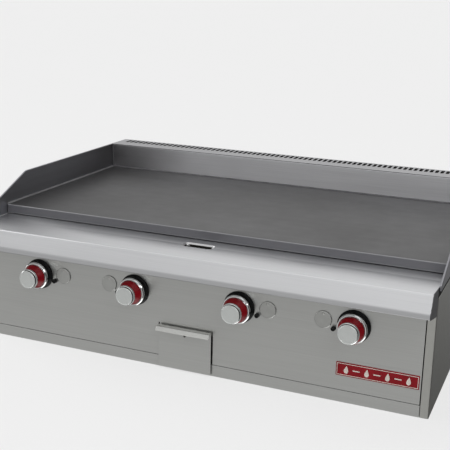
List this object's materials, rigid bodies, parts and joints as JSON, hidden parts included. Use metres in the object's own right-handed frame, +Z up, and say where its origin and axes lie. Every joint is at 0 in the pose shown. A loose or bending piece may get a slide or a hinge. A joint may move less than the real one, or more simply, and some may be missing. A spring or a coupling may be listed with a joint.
{
  "type": "gas flat top griddle",
  "caption": "Countertop gas griddle: thick steel plate with splash guards and slotted flue, bullnose deck with a drain slot, burner knobs, swing-away pilot covers and a pull-out grease drawer.",
  "frame": {"origin": "centre of the base, on the counter", "axes": "+X along the width to the right as seen from the front, +Y from the front to the rear, +Z up"},
  "size_m": [1.229, 0.91, 0.413],
  "materials": {
    "stainless_steel": "brushed along the length, folded edges",
    "aluminised_steel": "dull aluminised sheet",
    "griddle_steel": "ground and seasoned",
    "satin_chrome": "satin face, bright rim",
    "red_enamel": "gloss",
    "black_plastic": "moulded, satin",
    "brass": "machined",
    "black_iron": "rough, heat darkened"
  },
  "bodies": {
    "body": {"left_side_panel": "stainless_steel", "right_side_panel": "stainless_steel", "base_pan": "stainless_steel", "rear_panel": "stainless_steel", "control_panel": "stainless_steel", "grease_trough": "stainless_steel", "grease_chute": "stainless_steel", "left_splash": "stainless_steel", "right_splash": "stainless_steel", "rear_splash": "stainless_steel", "flue_vent_cap": "stainless_steel", "left_plate_rail": "aluminised_steel", "right_plate_rail": "aluminised_steel", "left_drawer_runner": "aluminised_steel", "right_drawer_runner": "aluminised_steel", "heat_shield": "aluminised_steel", "burner_box_floor": "aluminised_steel", "burner_rest": "aluminised_steel", "griddle_plate": "griddle_steel", "manifold_pipe": "black_iron", "gas_inlet_pipe": "black_iron", "badge_plate": "red_enamel", "knob_bezel_1": "black_plastic", "gas_valve_1": "brass", "burner_tube_1": "black_iron", "pilot_burner_1": "brass", "knob_bezel_2": "black_plastic", "gas_valve_2": "brass", "burner_tube_2": "black_iron", "pilot_burner_2": "brass", "knob_bezel_3": "black_plastic", "gas_valve_3": "brass", "burner_tube_3": "black_iron", "pilot_burner_3": "brass", "knob_bezel_4": "black_plastic", "gas_valve_4": "brass", "burner_tube_4": "black_iron", "pilot_burner_4": "brass"},
    "drawer": {"grease_drawer": "stainless_steel", "drawer_front": "stainless_steel"},
    "knob_1_body": {"knob_1": "satin_chrome", "knob_ring_1": "red_enamel", "valve_stem_1": "brass"},
    "cover_1_body": {"pilot_cover_1": "stainless_steel"},
    "adjuster_1_body": {"pilot_adjuster_1": "black_plastic"},
    "knob_2_body": {"knob_2": "satin_chrome", "knob_ring_2": "red_enamel", "valve_stem_2": "brass"},
    "cover_2_body": {"pilot_cover_2": "stainless_steel"},
    "adjuster_2_body": {"pilot_adjuster_2": "black_plastic"},
    "knob_3_body": {"knob_3": "satin_chrome", "knob_ring_3": "red_enamel", "valve_stem_3": "brass"},
    "cover_3_body": {"pilot_cover_3": "stainless_steel"},
    "adjuster_3_body": {"pilot_adjuster_3": "black_plastic"},
    "knob_4_body": {"knob_4": "satin_chrome", "knob_ring_4": "red_enamel", "valve_stem_4": "brass"},
    "cover_4_body": {"pilot_cover_4": "stainless_steel"},
    "adjuster_4_body": {"pilot_adjuster_4": "black_plastic"}
  },
  "joints": [
    {"name": "drawer_slide", "type": "slide", "parent": "body", "child": "drawer", "axis": [0, -1, 0], "range_m": [0, 0.36]},
    {"name": "knob_1_turn", "type": "hinge", "parent": "body", "child": "knob_1_body", "pos_m": [-0.4256, -0.3926, 0.194], "axis": [0, -1, 0], "range_deg": [0, 90]},
    {"name": "cover_1_swing", "type": "hinge", "parent": "body", "child": "cover_1_body", "pos_m": [-0.3521, -0.3746, 0.2145], "axis": [0, -1, 0], "range_deg": [0, 120]},
    {"name": "adjuster_1_turn", "type": "hinge", "parent": "body", "child": "adjuster_1_body", "pos_m": [-0.3781, -0.3776, 0.1815], "axis": [0, -1, 0], "range_deg": [0, 270]},
    {"name": "knob_2_turn", "type": "hinge", "parent": "body", "child": "knob_2_body", "pos_m": [-0.1418, -0.3926, 0.194], "axis": [0, -1, 0], "range_deg": [0, 90]},
    {"name": "cover_2_swing", "type": "hinge", "parent": "body", "child": "cover_2_body", "pos_m": [-0.2153, -0.3746, 0.2145], "axis": [0, 1, 0], "range_deg": [0, 120]},
    {"name": "adjuster_2_turn", "type": "hinge", "parent": "body", "child": "adjuster_2_body", "pos_m": [-0.1893, -0.3776, 0.1815], "axis": [0, -1, 0], "range_deg": [0, 270]},
    {"name": "knob_3_turn", "type": "hinge", "parent": "body", "child": "knob_3_body", "pos_m": [0.1418, -0.3926, 0.194], "axis": [0, -1, 0], "range_deg": [0, 90]},
    {"name": "cover_3_swing", "type": "hinge", "parent": "body", "child": "cover_3_body", "pos_m": [0.2153, -0.3746, 0.2145], "axis": [0, -1, 0], "range_deg": [0, 120]},
    {"name": "adjuster_3_turn", "type": "hinge", "parent": "body", "child": "adjuster_3_body", "pos_m": [0.1893, -0.3776, 0.1815], "axis": [0, -1, 0], "range_deg": [0, 270]},
    {"name": "knob_4_turn", "type": "hinge", "parent": "body", "child": "knob_4_body", "pos_m": [0.4256, -0.3926, 0.194], "axis": [0, -1, 0], "range_deg": [0, 90]},
    {"name": "cover_4_swing", "type": "hinge", "parent": "body", "child": "cover_4_body", "pos_m": [0.3521, -0.3746, 0.2145], "axis": [0, 1, 0], "range_deg": [0, 120]},
    {"name": "adjuster_4_turn", "type": "hinge", "parent": "body", "child": "adjuster_4_body", "pos_m": [0.3781, -0.3776, 0.1815], "axis": [0, -1, 0], "range_deg": [0, 270]}
  ]
}
